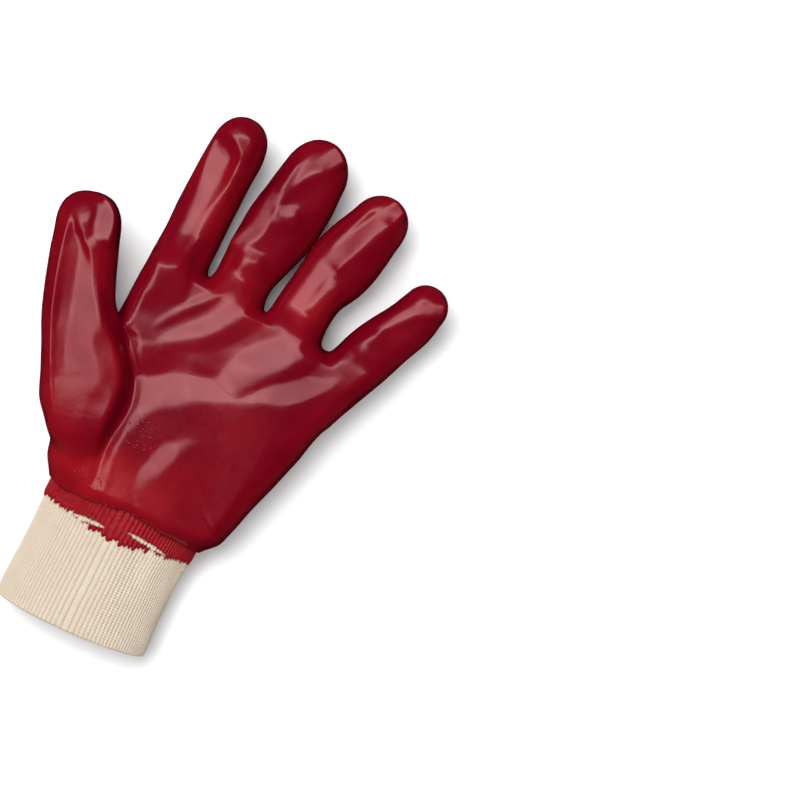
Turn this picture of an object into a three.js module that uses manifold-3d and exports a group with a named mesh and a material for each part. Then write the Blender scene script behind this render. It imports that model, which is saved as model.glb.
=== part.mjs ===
// A left-hand work glove, dipped in red PVC on a jersey liner, with a rib-knit wrist.
// It lies on its back with the palm up, hollow from the open wrist to every fingertip.
// Millimetres: +Y runs from the wrist to the fingertips, +X from the thumb to the little finger,
// and +Z out of the palm. The origin is under the middle of the glove, on the surface it lies on.
import * as THREE from "three";
import { mergeVertices } from "three/addons/utils/BufferGeometryUtils.js";
import Module from "manifold-3d";

const wasm = await Module();
wasm.setup();

// Wall thicknesses, and the gap between pieces that touch.
const coatWall = 1.6;
const bandWall = 1.0;
const knitWall = 2.0;
const fitGap = 0.3;
const mergeDistance = 1e-4;

// Roundness of the sections: 2 is an ellipse, and more is squarer.
const digitRoundness = 2.2;
const palmRoundness = 2.6;
const wristRoundness = 2.4;

// The knit's ribs, and the torn lower edge of the coating that soaked into them.
const ribCount = 64;
const ribDepth = 0.45;
const tearDepth = 1.4;
const tearWaves = [
  { share: 0.6, pace: 2.1, start: 0 },
  { share: 0.4, pace: 0.77, start: 1 },
];

// Where the wrist's rings lie, as shares of its length from the seam, and the band's of its reach.
const knitShares = [0, 0.2, 0.4, 0.6, 0.8, 0.985];
const hollowShares = [0.985, 0.5, 0];
const bandShares = [0, 0.5, 1];

// How finely each skin is faceted: points round a section, and sections along it.
const outerMesh = { digitSides: 20, digitRings: 12, domeRings: 4, palmSides: 40, palmRings: 14 };
const innerMesh = { digitSides: 12, digitRings: 7, domeRings: 3, palmSides: 24, palmRings: 8 };
const knuckleDomeDegrees = 74;
const tipDomeDegrees = 82;
const tangentStep = 0.01;

// Each digit's centre line, from inside the palm to where its tip starts to round off.
// half is half its width, rise half its thickness, and tip the length of the rounded end.
const digits = {
  thumb: {
    tip: 18.2,
    rows: [
      { x: -23.0, y: 13.0, z: 17.0, half: 9.0, rise: 9.0 },
      { x: -26.5, y: 19.0, z: 19.5, half: 15.5, rise: 14.0 },
      { x: -30.2, y: 28.5, z: 22.0, half: 21.0, rise: 17.5 },
      { x: -37.0, y: 44.0, z: 25.5, half: 25.0, rise: 18.5 },
      { x: -49.8, y: 62.6, z: 29.0, half: 21.2, rise: 16.0 },
      { x: -61.0, y: 78.3, z: 31.0, half: 17.6, rise: 14.0 },
      { x: -69.4, y: 98.9, z: 31.5, half: 16.4, rise: 13.0 },
      { x: -74.0, y: 111.8, z: 31.5, half: 15.8, rise: 12.5 },
    ],
  },
  index: {
    tip: 18.0,
    rows: [
      { x: -28.5, y: 84.0, z: 16.0, half: 13.5, rise: 13.0 },
      { x: -29.6, y: 112.0, z: 15.5, half: 14.4, rise: 13.0 },
      { x: -30.3, y: 126.0, z: 15.0, half: 14.0, rise: 12.0 },
      { x: -30.8, y: 155.0, z: 16.0, half: 13.9, rise: 11.5 },
      { x: -30.2, y: 177.6, z: 19.5, half: 13.7, rise: 11.0 },
    ],
  },
  middle: {
    tip: 19.5,
    rows: [
      { x: 1.0, y: 84.0, z: 16.0, half: 14.0, rise: 13.5 },
      { x: 1.2, y: 112.0, z: 15.5, half: 15.0, rise: 13.0 },
      { x: 0.9, y: 126.0, z: 14.5, half: 14.2, rise: 12.2 },
      { x: 2.5, y: 140.4, z: 14.5, half: 16.1, rise: 12.3 },
      { x: 5.0, y: 156.0, z: 15.0, half: 17.8, rise: 12.5 },
      { x: 7.0, y: 170.0, z: 16.5, half: 17.3, rise: 12.0 },
      { x: 8.1, y: 184.0, z: 18.5, half: 16.0, rise: 11.5 },
    ],
  },
  ring: {
    tip: 16.4,
    rows: [
      { x: 31.0, y: 82.0, z: 16.0, half: 14.0, rise: 13.5 },
      { x: 33.4, y: 108.0, z: 15.5, half: 15.4, rise: 13.0 },
      { x: 33.2, y: 124.0, z: 14.5, half: 14.5, rise: 12.0 },
      { x: 35.0, y: 137.3, z: 14.5, half: 14.4, rise: 11.8 },
      { x: 38.3, y: 149.0, z: 15.0, half: 16.5, rise: 12.0 },
      { x: 41.3, y: 160.0, z: 16.5, half: 16.8, rise: 12.0 },
      { x: 46.0, y: 177.4, z: 19.5, half: 14.2, rise: 11.3 },
    ],
  },
  little: {
    tip: 11.7,
    rows: [
      { x: 58.0, y: 84.0, z: 16.0, half: 12.5, rise: 12.5 },
      { x: 67.0, y: 110.0, z: 15.5, half: 13.9, rise: 12.0 },
      { x: 71.4, y: 121.6, z: 15.5, half: 14.1, rise: 11.5 },
      { x: 75.9, y: 132.3, z: 16.0, half: 13.3, rise: 11.0 },
      { x: 81.1, y: 142.7, z: 17.5, half: 12.6, rise: 10.6 },
      { x: 84.5, y: 153.7, z: 19.0, half: 11.2, rise: 10.0 },
    ],
  },
};

// The palm and back of the hand, from the wrist to the knuckles: each row is one section,
// from its thumb side (xl, yl) to its little-finger side (xr, yr), and from bottom to top.
const palmRows = [
  { xl: -39.8, yl: 0.0, xr: 45.0, yr: 0.5, bottom: 0.0, top: 30.5 },
  { xl: -45.0, yl: 6.0, xr: 50.0, yr: 6.5, bottom: -1.0, top: 33.0 },
  { xl: -47.0, yl: 14.0, xr: 52.4, yr: 15.0, bottom: -1.6, top: 34.0 },
  { xl: -47.0, yl: 30.0, xr: 56.0, yr: 29.0, bottom: -1.6, top: 34.0 },
  { xl: -45.5, yl: 55.0, xr: 62.6, yr: 52.0, bottom: -1.6, top: 33.0 },
  { xl: -45.0, yl: 78.0, xr: 67.6, yr: 74.5, bottom: -1.6, top: 32.0 },
  { xl: -44.6, yl: 96.0, xr: 73.0, yr: 91.0, bottom: -1.0, top: 31.0 },
  { xl: -44.2, yl: 110.0, xr: 78.0, yr: 101.0, bottom: 1.0, top: 29.0 },
];
const knuckleDome = 11;
const lipRise = 2.5;
const lipShare = 0.17;
const mouthOvershoot = 3;

// The knit wrist's outside, in even steps from where it is sewn in, inside the hand, to its open end.
const wristRows = [
  { xl: -36.0, yl: 4.0, xr: 41.4, yr: 8.5, bottom: 4.2, top: 26.8 },
  { xl: -35.8, yl: -9.2, xr: 40.8, yr: -4.7, bottom: 4.0, top: 26.6 },
  { xl: -35.0, yl: -22.4, xr: 39.8, yr: -17.9, bottom: 2.4, top: 26.4 },
  { xl: -35.0, yl: -35.6, xr: 40.6, yr: -31.1, bottom: 0.2, top: 26.6 },
  { xl: -35.2, yl: -48.8, xr: 41.4, yr: -44.3, bottom: -0.9, top: 27.0 },
  { xl: -35.0, yl: -62.0, xr: 42.6, yr: -57.5, bottom: -0.9, top: 27.4 },
];
const wristLength = 66;
const wristBow = 2.4;
const bandTuck = 3;

// How deep the red coating reaches down the wrist, by the angle round it: 0 is the little-finger
// side, 90 the palm, 180 the thumb side and 270 the back.
const coatingReach = [
  { angle: 0, reach: 13 },
  { angle: 60, reach: 14.5 },
  { angle: 90, reach: 17.5 },
  { angle: 120, reach: 13 },
  { angle: 180, reach: 10 },
  { angle: 270, reach: 24 },
];

// Slits that the dip missed, on the palm side just above the torn edge.
const missedSpots = [
  { x: -10.0, y: -9.4, long: 17.0, wide: 2.2, degrees: 5 },
  { x: 20.0, y: -7.0, long: 21.0, wide: 2.6, degrees: -4 },
];
const slitSides = 10;
const slitFrom = 18;
const slitTo = 36;

// Folds, pads and hollows of the skin. Each is a bump of the given height at (x, y), long in the
// direction of its angle from +X; a minus height is a dent. side is 1 on the palm and -1 on the back.
const folds = [
  { name: "palm hollow", side: 1, x: 14.0, y: 66.0, degrees: -8, long: 40, wide: 17, height: -3.6 },
  { name: "knuckle pad", side: 1, x: -16.0, y: 92.0, degrees: -3, long: 18, wide: 6, height: 2.6 },
  { name: "crease under middle", side: 1, x: -4.0, y: 101.0, degrees: 8, long: 16, wide: 3.5, height: -1.6 },
  { name: "ring pad", side: 1, x: 39.0, y: 96.0, degrees: 70, long: 10, wide: 9, height: 2.2 },
  { name: "heart line", side: 1, x: 30.0, y: 76.0, degrees: -2, long: 52, wide: 6, height: 1.8 },
  { name: "thenar crease", side: 1, x: -15.0, y: 30.0, degrees: 78, long: 26, wide: 4, height: -2.4 },
  { name: "thenar ridge", side: 1, x: -6.0, y: 30.0, degrees: 78, long: 26, wide: 5, height: 2.0 },
  { name: "heel of the hand", side: 1, x: 34.0, y: 26.0, degrees: 70, long: 24, wide: 16, height: 2.4 },
  { name: "thumb ridge", side: 1, x: -75.0, y: 92.0, degrees: 118, long: 22, wide: 4, height: 1.5 },
  { name: "thumb joint", side: 1, x: -66.0, y: 102.0, degrees: 30, long: 14, wide: 4, height: -1.4 },
  { name: "index joint", side: 1, x: -31.0, y: 166.0, degrees: 6, long: 14, wide: 4, height: -1.6 },
  { name: "index base", side: 1, x: -28.0, y: 118.0, degrees: 4, long: 15, wide: 4, height: -1.6 },
  { name: "middle joint", side: 1, x: 5.0, y: 162.0, degrees: 12, long: 16, wide: 4, height: -1.8 },
  { name: "middle ridge", side: 1, x: -3.0, y: 150.0, degrees: 70, long: 18, wide: 4, height: 1.6 },
  { name: "middle base", side: 1, x: 2.0, y: 131.0, degrees: -10, long: 14, wide: 3.5, height: -2.2 },
  { name: "ring joint", side: 1, x: 40.0, y: 150.0, degrees: 12, long: 15, wide: 4, height: -1.6 },
  { name: "ring base", side: 1, x: 34.0, y: 120.0, degrees: 6, long: 15, wide: 4, height: -1.5 },
  { name: "little joint", side: 1, x: 79.0, y: 138.0, degrees: 20, long: 12, wide: 4, height: -1.5 },
  { name: "back of index", side: -1, x: -30.0, y: 142.0, degrees: 5, long: 14, wide: 6, height: 1.8 },
  { name: "back of middle", side: -1, x: 3.0, y: 146.0, degrees: 8, long: 16, wide: 6, height: 1.8 },
  { name: "back of ring", side: -1, x: 36.0, y: 140.0, degrees: 10, long: 15, wide: 6, height: 1.8 },
  { name: "back of little", side: -1, x: 74.0, y: 126.0, degrees: 20, long: 13, wide: 6, height: 1.6 },
];

// Signed power, which bends an ellipse into a superellipse.
function soften(value, roundness) {
  return Math.sign(value) * Math.abs(value) ** (2 / roundness);
}

// Height of all folds of one side at a point of the plan.
function foldHeight(x, y, side) {
  let height = 0;
  for (const fold of folds) {
    if (fold.side !== side) continue;
    const turn = THREE.MathUtils.degToRad(fold.degrees);
    const along = (x - fold.x) * Math.cos(turn) + (y - fold.y) * Math.sin(turn);
    const across = (y - fold.y) * Math.cos(turn) - (x - fold.x) * Math.sin(turn);
    height += fold.height * Math.exp(-((along / fold.long) ** 2) - (across / fold.wide) ** 2);
  }
  return height;
}

// Folds a point of a skin, then lets the skin lie flat where it meets the surface.
// facing is 1 at the top of its section and -1 at the bottom.
function settle(point, facing, floor) {
  const side = facing < 0 ? -1 : 1;
  point.z += side * Math.abs(facing) * foldHeight(point.x, point.y, side);
  point.z = Math.max(point.z, floor);
  return point;
}

// A value of the rows at t, from 0 to 1 along the table, on a smooth curve through them.
function along(rows, t, columns) {
  const points = rows.map((row) => new THREE.Vector3(...columns.map((c) => row[c] ?? 0)));
  return new THREE.CatmullRomCurve3(points, false, "catmullrom").getPoint(t);
}

// A closed skin through rings of points, with a fan over each end.
function closedSkin(rings) {
  const sides = rings[0].length;
  const points = rings.flat();
  const indices = [];
  for (let ring = 0; ring + 1 < rings.length; ring++) {
    for (let side = 0; side < sides; side++) {
      const a = ring * sides + side;
      const b = ring * sides + ((side + 1) % sides);
      indices.push(a, b + sides, b, a, a + sides, b + sides);
    }
  }
  for (const [ring, turn] of [[0, 0], [rings.length - 1, 1]]) {
    const middle = new THREE.Vector3();
    for (const point of rings[ring]) middle.addScaledVector(point, 1 / sides);
    points.push(middle);
    const centre = points.length - 1;
    for (let side = 0; side < sides; side++) {
      const a = ring * sides + side;
      const b = ring * sides + ((side + 1) % sides);
      indices.push(...(turn ? [b, a, centre] : [a, b, centre]));
    }
  }
  return new THREE.BufferGeometry().setFromPoints(points).setIndex(indices);
}

// A tube's wall: the rings run down its outside and back up its inside, and close on themselves.
function wallSkin(rings) {
  const sides = rings[0].length;
  const indices = [];
  for (let ring = 0; ring < rings.length; ring++) {
    const next = (ring + 1) % rings.length;
    for (let side = 0; side < sides; side++) {
      const other = (side + 1) % sides;
      const [a, b] = [ring * sides + side, ring * sides + other];
      const [c, d] = [next * sides + other, next * sides + side];
      indices.push(a, b, c, a, c, d);
    }
  }
  return new THREE.BufferGeometry().setFromPoints(rings.flat()).setIndex(indices);
}

function toSolid(geometry) {
  geometry.deleteAttribute("normal");
  geometry.deleteAttribute("uv");
  const merged = mergeVertices(geometry, mergeDistance);
  return new wasm.Manifold(
    new wasm.Mesh({
      numProp: 3,
      vertProperties: merged.attributes.position.array,
      triVerts: new Uint32Array(merged.index.array),
    }),
  );
}

function toGeometry(solid) {
  const mesh = solid.getMesh();
  const geometry = new THREE.BufferGeometry();
  geometry.setAttribute("position", new THREE.BufferAttribute(mesh.vertProperties, 3));
  geometry.setIndex(new THREE.BufferAttribute(mesh.triVerts, 1));
  geometry.computeVertexNormals();
  return geometry;
}

// One section of a digit, square to its centre line.
function digitRing(centre, direction, half, rise, sides, floor) {
  const across = new THREE.Vector3(direction.y, -direction.x, 0).normalize();
  const up = new THREE.Vector3().crossVectors(across, direction).normalize();
  const ring = [];
  for (let side = 0; side < sides; side++) {
    const angle = (2 * Math.PI * side) / sides;
    const facing = soften(Math.sin(angle), digitRoundness);
    const point = centre.clone();
    point.addScaledVector(across, half * soften(Math.cos(angle), digitRoundness));
    point.addScaledVector(up, rise * facing);
    ring.push(settle(point, facing, floor));
  }
  return ring;
}

// A digit's skin, inset from the outside by the wall where it is the hollow.
function digitSolid(digit, inset, mesh) {
  const rings = [];
  const shape = (t) => {
    const size = along(digit.rows, t, ["half", "rise"]);
    return [size.x - inset, size.y - inset];
  };
  const centreAt = (t) => along(digit.rows, t, ["x", "y", "z"]);
  const directionAt = (t) => {
    const ahead = Math.min(t + tangentStep, 1);
    return centreAt(ahead).sub(centreAt(ahead - tangentStep)).normalize();
  };
  for (let ring = 0; ring <= mesh.digitRings; ring++) {
    const t = ring / mesh.digitRings;
    rings.push(digitRing(centreAt(t), directionAt(t), ...shape(t), mesh.digitSides, inset));
  }
  const direction = directionAt(1);
  const [half, rise] = shape(1);
  for (let ring = 1; ring <= mesh.domeRings; ring++) {
    const angle = THREE.MathUtils.degToRad((tipDomeDegrees * ring) / mesh.domeRings);
    const centre = centreAt(1).addScaledVector(direction, (digit.tip - inset) * Math.sin(angle));
    const shrink = Math.cos(angle);
    rings.push(digitRing(centre, direction, half * shrink, rise * shrink, mesh.digitSides, inset));
  }
  return toSolid(closedSkin(rings));
}

// One point of a palm or wrist section, from its row of the table. facing is 1 at the section's top,
// -1 at its bottom and 0 at its two edges.
function sectionPoint(row, grow, angle, roundness) {
  const left = new THREE.Vector3(row.xl, row.yl, 0);
  const right = new THREE.Vector3(row.xr, row.yr, 0);
  const across = right.clone().sub(left).normalize();
  const half = left.distanceTo(right) / 2 + grow;
  const rise = (row.top - row.bottom) / 2 + grow;
  const facing = soften(Math.sin(angle), roundness);
  const point = left.clone().lerp(right, 0.5);
  point.z = (row.bottom + row.top) / 2 + rise * facing;
  point.addScaledVector(across, half * soften(Math.cos(angle), roundness));
  return { point, facing };
}

function rowAt(rows, t) {
  const edges = along(rows, t, ["xl", "yl", "xr"]);
  const rest = along(rows, t, ["yr", "bottom", "top"]);
  return { xl: edges.x, yl: edges.y, xr: edges.z, yr: rest.x, bottom: rest.y, top: rest.z };
}

// One closed section of the palm, moved towards the fingers by reach, and by bow at its middle.
function palmRing(row, inset, sides, reach, bow) {
  return Array.from({ length: sides }, (_, side) => {
    const angle = (2 * Math.PI * side) / sides;
    const { point, facing } = sectionPoint(row, -inset, angle, palmRoundness);
    point.y += reach + bow * facing ** 2;
    return settle(point, facing, inset);
  });
}

// The palm's skin. Its first section lifts in the middle, as the lip of the coating does, and its
// last ones round off into the webs between the fingers.
function palmSolid(inset, mesh) {
  const rings = [];
  for (let ring = 0; ring <= mesh.palmRings; ring++) {
    const t = ring / mesh.palmRings;
    const bow = lipRise * Math.max(0, 1 - t / lipShare);
    const overshoot = ring === 0 && inset > 0 ? -mouthOvershoot : 0;
    rings.push(palmRing(rowAt(palmRows, t), inset, mesh.palmSides, overshoot, bow));
  }
  const last = palmRows[palmRows.length - 1];
  const middle = (last.bottom + last.top) / 2;
  for (let ring = 1; ring <= mesh.domeRings; ring++) {
    const angle = THREE.MathUtils.degToRad((knuckleDomeDegrees * ring) / mesh.domeRings);
    const rise = (middle - last.bottom - inset) * Math.cos(angle) + inset;
    const row = { ...last, bottom: middle - rise, top: middle + rise };
    const reach = (knuckleDome - inset) * Math.sin(angle);
    rings.push(palmRing(row, inset, mesh.palmSides, reach, 0));
  }
  return toSolid(closedSkin(rings));
}

function handSkin(inset, mesh) {
  let skin = palmSolid(inset, mesh);
  for (const digit of Object.values(digits)) skin = skin.add(digitSolid(digit, inset, mesh));
  return skin;
}

function coatedHand() {
  return toGeometry(handSkin(0, outerMesh).subtract(handSkin(coatWall, innerMesh)));
}

// A point of the wrist, drop millimetres down from where it is sewn in, grown outwards by grow.
// Every second point of a ribbed ring is sunk between two ribs.
function wristPoint(side, drop, grow, ribbed) {
  const sunk = ribbed && side % 2 ? ribDepth : 0;
  const angle = (Math.PI * side) / ribCount;
  const share = drop / wristLength;
  const { point, facing } = sectionPoint(rowAt(wristRows, share), grow - sunk, angle, wristRoundness);
  point.y -= wristBow * share ** 2 * facing ** 2;
  point.z = Math.max(point.z, -grow);
  return point;
}

function wristRing(dropAt, grow, ribbed) {
  return Array.from({ length: 2 * ribCount }, (_, side) => wristPoint(side, dropAt(side), grow, ribbed));
}

function knitWrist() {
  const down = (share) => () => share * wristLength;
  const outside = knitShares.map((share) => wristRing(down(share), 0, true));
  const edge = wristRing(down(1), -knitWall / 2, false);
  const inside = hollowShares.map((share) => wristRing(down(share), -knitWall, false));
  return toGeometry(toSolid(wallSkin([...outside, edge, ...inside])));
}

// How far the coating reaches down the wrist at one of its ribs, with its torn edge.
function reachAt(side) {
  const angle = (180 * side) / ribCount;
  const closed = [...coatingReach, { ...coatingReach[0], angle: 360 }];
  const next = closed.findIndex((row) => row.angle > angle);
  const [a, b] = [closed[next - 1], closed[next]];
  const smooth = THREE.MathUtils.smoothstep(angle, a.angle, b.angle);
  let reach = a.reach + (b.reach - a.reach) * smooth;
  for (const wave of tearWaves) reach += tearDepth * wave.share * Math.sin(side * wave.pace + wave.start);
  return reach;
}

function coatedRibBand() {
  const down = (share) => (side) => bandTuck + share * reachAt(side);
  const outside = bandShares.map((share) => wristRing(down(share), fitGap + bandWall + ribDepth, true));
  const inside = bandShares.map((share) => wristRing(down(share), fitGap, false)).reverse();
  let band = toSolid(wallSkin([...outside, ...inside]));
  for (const spot of missedSpots) band = band.subtract(slit(spot));
  return toGeometry(band);
}

function slit(spot) {
  const shape = new THREE.CylinderGeometry(0.5, 0.5, slitTo - slitFrom, slitSides);
  shape.rotateX(Math.PI / 2).scale(spot.long, spot.wide, 1);
  shape.rotateZ(THREE.MathUtils.degToRad(spot.degrees));
  shape.translate(spot.x, spot.y, (slitFrom + slitTo) / 2);
  return toSolid(shape);
}

const coating = new THREE.MeshStandardMaterial({ color: 0x86101c, roughness: 0.28, metalness: 0 });
const soakedRib = new THREE.MeshStandardMaterial({ color: 0x7d0f1a, roughness: 0.4, metalness: 0 });
const knit = new THREE.MeshStandardMaterial({ color: 0xdccbb2, roughness: 0.95, metalness: 0 });

const glove = new THREE.Group();
for (const [name, geometry, material] of [
  ["coated_hand", coatedHand(), coating],
  ["coated_rib_band", coatedRibBand(), soakedRib],
  ["knit_wrist", knitWrist(), knit],
]) {
  const mesh = new THREE.Mesh(geometry, material);
  mesh.name = name;
  glove.add(mesh);
}

// The origin goes under the middle of the whole glove, on the surface it lies on.
const box = new THREE.Box3().setFromObject(glove);
const middle = box.getCenter(new THREE.Vector3());
glove.position.set(-middle.x, -middle.y, -box.min.z);

export default glove;
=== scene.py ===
import math
from collections import namedtuple

import bpy
import numpy as np
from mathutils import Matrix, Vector, noise
from mathutils.bvhtree import BVHTree


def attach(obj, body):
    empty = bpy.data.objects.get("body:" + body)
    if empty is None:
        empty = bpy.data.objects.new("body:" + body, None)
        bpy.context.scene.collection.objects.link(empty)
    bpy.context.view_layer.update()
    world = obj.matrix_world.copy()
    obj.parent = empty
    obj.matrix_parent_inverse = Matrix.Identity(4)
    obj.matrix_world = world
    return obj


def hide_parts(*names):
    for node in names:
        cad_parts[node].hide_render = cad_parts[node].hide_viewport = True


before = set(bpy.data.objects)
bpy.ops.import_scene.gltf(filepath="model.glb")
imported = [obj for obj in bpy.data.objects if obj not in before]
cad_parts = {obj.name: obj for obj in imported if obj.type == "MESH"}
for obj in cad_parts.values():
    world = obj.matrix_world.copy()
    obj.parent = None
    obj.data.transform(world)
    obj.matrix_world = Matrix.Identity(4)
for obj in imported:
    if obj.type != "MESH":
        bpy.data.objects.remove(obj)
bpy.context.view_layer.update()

MM = 0.001
# Keeps divisions safe, and is farther than anything on the glove.
TINY = 1e-6
FAR = 1e9
# Where the middle of the model's box lies in the tables below.
TABLE_CENTRE = np.array([2.821, 70.241, 0.0])

COAT_WALL = 1.8
# The skin is meshed this far inside its forms, so that narrow gaps between the fingers stay open,
# and then grown outwards by as much.
MESH_INSET = 1.3
LINER_INSET = 2.6
# How far inside the mouth the liner starts.
LINER_SETBACK = 10.0
KNIT_WALL = 2.2
VOXEL = 1.12
LINER_VOXEL = 2.7

# How finely the forms are lofted: points round each, rings along it and rings over its rounded end.
PALM_SIDES = 96
PALM_RINGS = 60
DIGIT_SIDES = 40
DIGIT_RINGS = 44
DOME_RINGS = 14
# A digit's last ring stays this share of a step short of the tip, so that it never closes.
TIP_OPENING = 0.4
# The share of a digit's centre line over which its direction is taken.
DIRECTION_STEP = 0.01

DIGIT_ROUNDNESS = 2.2
TIP_ROUNDNESS = 2.0
# The palm's sections grow squarer from the heel to the knuckles.
PALM_ROUNDNESS_Y = [30.0, 78.0]
PALM_ROUNDNESS = [2.6, 3.4]
WRIST_ROUNDNESS = 2.4

# Each digit's centre line, from inside the palm to where its tip starts to round off: x, y, z, half
# its width and half its thickness. tip is the length of the rounded end, and tip_roundness above 2
# makes it blunter.
DIGITS = {
    "thumb": {"tip": 18.6, "tip_roundness": 2.5, "rows": [
        (-23, 13, 17, 9, 9),
        (-26.5, 19, 19.5, 15.5, 14),
        (-30.2, 28.5, 22, 21, 17.5),
        (-37, 44, 25.5, 25, 18.5),
        (-49.8, 62.6, 29, 21.2, 16),
        (-61, 78.3, 31, 17.6, 14),
        (-69.4, 98.9, 31.5, 16.4, 13),
        (-74, 111.8, 31.5, 15.8, 12.5),
    ]},
    "index": {"tip": 18.0, "tip_roundness": 2.25, "rows": [
        (-28.5, 84, 16, 13.5, 13),
        (-29.6, 112, 15.5, 14.4, 13),
        (-30.3, 126, 15, 14, 12),
        (-30.8, 155, 16, 13.9, 11.5),
        (-30.2, 177.6, 19.5, 13.7, 11),
    ]},
    "middle": {"tip": 19.5, "rows": [
        (1, 84, 16, 14, 13.5),
        (1.2, 112, 15.5, 15, 13),
        (0.9, 126, 14.5, 14.2, 12.2),
        (2.5, 140.4, 14.5, 16.1, 12.3),
        (5, 156, 15, 17.8, 12.5),
        (7, 170, 16.5, 17.3, 12),
        (8.1, 184, 18.5, 16, 11.5),
    ]},
    "ring": {"tip": 16.4, "rows": [
        (31, 82, 16, 14, 13.5),
        (33.4, 108, 15.5, 15.4, 13),
        (33.2, 124, 14.5, 14.5, 12),
        (35, 137.3, 14.5, 14.4, 11.8),
        (38.3, 149, 15, 16.5, 12),
        (41.3, 160, 16.5, 16.8, 12),
        (46, 177.4, 19.5, 14.2, 11.3),
    ]},
    "little": {"tip": 11.7, "rows": [
        (58, 84, 16, 12.5, 12.5),
        (67, 110, 15.5, 13.9, 12),
        (71.4, 121.6, 15.5, 14.1, 11.5),
        (75.9, 132.3, 16, 13.3, 11),
        (81.1, 142.7, 17.5, 12.6, 10.6),
        (84.5, 153.7, 19, 11.2, 10),
    ]},
}

# Sections of the palm from wrist to knuckles: thumb side x, y, little-finger side x, y, bottom and
# top. The first row lies past the lip and is cut away there.
PALM_ROWS = [
    (-38, -9, 43.4, -8.5, 1, 29.5),
    (-39.8, 0, 45, 0.5, 0, 30.5),
    (-43.2, 6, 50, 6.5, -1, 33),
    (-45.4, 14, 52.4, 15, -1.6, 34),
    (-47, 30, 56, 29, -1.6, 34),
    (-45.5, 55, 62.6, 52, -1.6, 33),
    (-45, 78, 67.6, 74.5, -1.6, 32),
    (-44.6, 96, 73, 91, -1, 31),
    (-44.2, 110, 78, 101, 1, 29),
]
KNUCKLE_DOME = 11.0
KNUCKLE_DOME_DEGREES = 74

# The knit wrist in even steps from where it is sewn in to its open end, as the palm's rows.
WRIST_ROWS = [
    (-36, 4, 41.4, 8.5, 4.2, 26.8),
    (-35.8, -9.2, 40.8, -4.7, 4, 26.6),
    (-35, -22.4, 39.8, -17.9, 2.4, 26.4),
    (-35, -35.6, 40.6, -31.1, 0.2, 26.6),
    (-35.2, -48.8, 41.4, -44.3, -0.9, 27),
    (-35, -62, 42.6, -57.5, -0.9, 27.4),
]
WRIST_LENGTH = 66.0
# The wrist's rows start at this y, and its open end bows by this much above and below.
SEAM_Y = 4.0
WRIST_BOW = 2.4
# Half the wrist's width and height, for the way its surface faces.
WRIST_HALVES = (38.0, 13.0)

# The ribs of the knit, and how many points each takes round the wrist.
RIBS = 116
RIB_POINTS = 6
RIB_DEPTH = 0.4
# The knit's rows down to its edge, how far that rounds over and through which turns, and the rows
# back up on the inside.
KNIT_ROWS = 78
KNIT_EDGE = 1.2
KNIT_EDGE_DEGREES = (30, 60, 90, 120, 150)
KNIT_INSIDE_ROWS = 12

# Puckers below the hand: where down the wrist they are deepest, over how much, and how deep.
PUCKER_DROP = 22.0
PUCKER_SPAN = 16.0
PUCKER_DEPTH = 0.45
# Their waves: how many round the wrist, strength, phase, and turn for each mm down.
PUCKER_WAVES = [
    (9, 1, 0.6, 0),
    (14, 0.6, 0, 0.05),
]

# How far the soaked-in coating reaches down the wrist from the seam, by the angle round it: 0 is
# the little-finger side, 90 the palm, 180 the thumb side and 270 the back.
REACH_ANGLES = [0, 60, 82, 92, 120, 150, 180, 270, 360]
REACH_MM = [16, 17.5, 20.5, 20.5, 16, 14.5, 13, 27, 16]

# The teeth of its torn edge: their length, how far they start back, and the notch between two ribs.
TOOTH_LENGTH = 2.4
TOOTH_BACK = 1.0
TOOTH_SEED = 3
RIB_NOTCH = 1.3
# The band's rows and where they start below the seam.
BAND_ROWS = 44
BAND_START = 3.0
# How thick it lies, from which share of its reach it thins out, and what is left there.
BAND_COAT = 0.55
BAND_FEATHER = 0.9
BAND_EDGE = 0.18
# Its underside lies this far over the knit, and its ribs are this share as deep.
BAND_UNDERSIDE = 0.04
BAND_RIB_SHARE = 0.9

# Slits that the dip missed, on the palm side only: x, y, length, width and degrees from +X.
MISSED_SPOTS = [
    (-10, -10.4, 17, 2.6, 5),
    (20, -7.4, 21, 2.4, -4),
]
PALM_SIDE_Z = 16.0
# How much the edge of a slit wanders in all.
SLIT_WOBBLE = 0.8
SLIT_SEED = 5


def soften(value, roundness):
    return np.sign(value) * np.abs(value) ** (2 / roundness)


def spline(rows, t):
    """The rows' columns at t, from 0 to 1 along them, on a smooth curve through every row."""
    rows = np.asarray(rows, float)
    last = len(rows) - 1
    place = np.clip(np.asarray(t, float), 0, 1) * last
    index = np.minimum(place.astype(int), last - 1)
    part = (place - index)[..., None]
    padded = np.vstack([2 * rows[0] - rows[1], rows, 2 * rows[-1] - rows[-2]])
    before, start, end, after = (padded[index + step] for step in range(4))
    leave = (end - before) / 2
    arrive = (after - start) / 2
    square, cube = part**2, part**3
    return (
        (2 * cube - 3 * square + 1) * start
        + (cube - 2 * square + part) * leave
        + (3 * square - 2 * cube) * end
        + (cube - square) * arrive
    )


def smoothstep(low, high, value):
    t = np.clip((value - low) / (high - low), 0, 1)
    return t * t * (3 - 2 * t)


def section(row, angle, roundness, grow=0.0):
    """Points of a palm or wrist section at these angles, and how far each faces up or down."""
    row = np.asarray(row, float)
    left, right = row[..., 0:2], row[..., 2:4]
    bottom, top = row[..., 4], row[..., 5]
    span = np.linalg.norm(right - left, axis=-1)
    across = (right - left) / span[..., None]
    facing = soften(np.sin(angle), roundness)
    side = soften(np.cos(angle), roundness)
    plan = (left + right) / 2 + across * ((span / 2 + grow) * side)[..., None]
    height = (bottom + top) / 2 + ((top - bottom) / 2 + grow) * facing
    return np.concatenate([plan, height[..., None]], axis=-1), facing


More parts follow.
